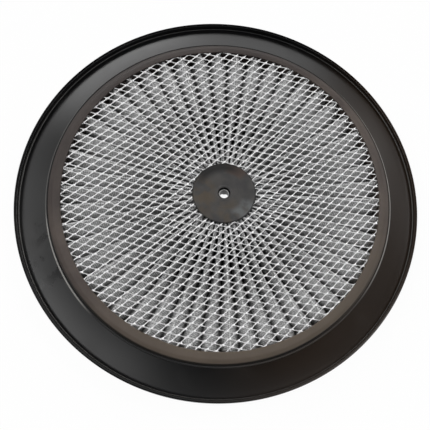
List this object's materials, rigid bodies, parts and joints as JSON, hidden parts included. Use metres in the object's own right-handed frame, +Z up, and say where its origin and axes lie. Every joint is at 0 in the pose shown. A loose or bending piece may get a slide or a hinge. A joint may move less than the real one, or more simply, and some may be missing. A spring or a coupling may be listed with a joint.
{
  "type": "air cleaner lid",
  "caption": "Round flow-through lid for a carburetor air cleaner: moulded rim with a standing lip, radial pleated filter between diamond screens, hub with a stud hole.",
  "frame": {"origin": "on the lid's axis, on the plane of the collar's foot that it stands on", "axes": "+Z up along the stud's axis, out of the visible upper face; -Y towards the viewer of the picture, +X to the viewer's right"},
  "size_m": [0.3556, 0.3556, 0.0287],
  "materials": {
    "rim_plastic": "moulded black, semi-gloss",
    "ring_urethane": "cast, satin, brownish black",
    "screen_metal": "expanded sheet, bright satin",
    "wire_cloth": "fine woven wire, satin",
    "gauze": "cotton gauze",
    "hub_urethane": "cast, satin, near black",
    "sleeve_steel": "turned steel"
  },
  "bodies": {
    "root": {"rim": "rim_plastic", "filter_ring": "ring_urethane", "top_screen": "screen_metal", "upper_wire_cloth": "wire_cloth", "cotton_gauze": "gauze", "lower_wire_cloth": "wire_cloth", "bottom_screen": "screen_metal", "hub": "hub_urethane", "stud_sleeve": "sleeve_steel"}
  },
  "joints": []
}
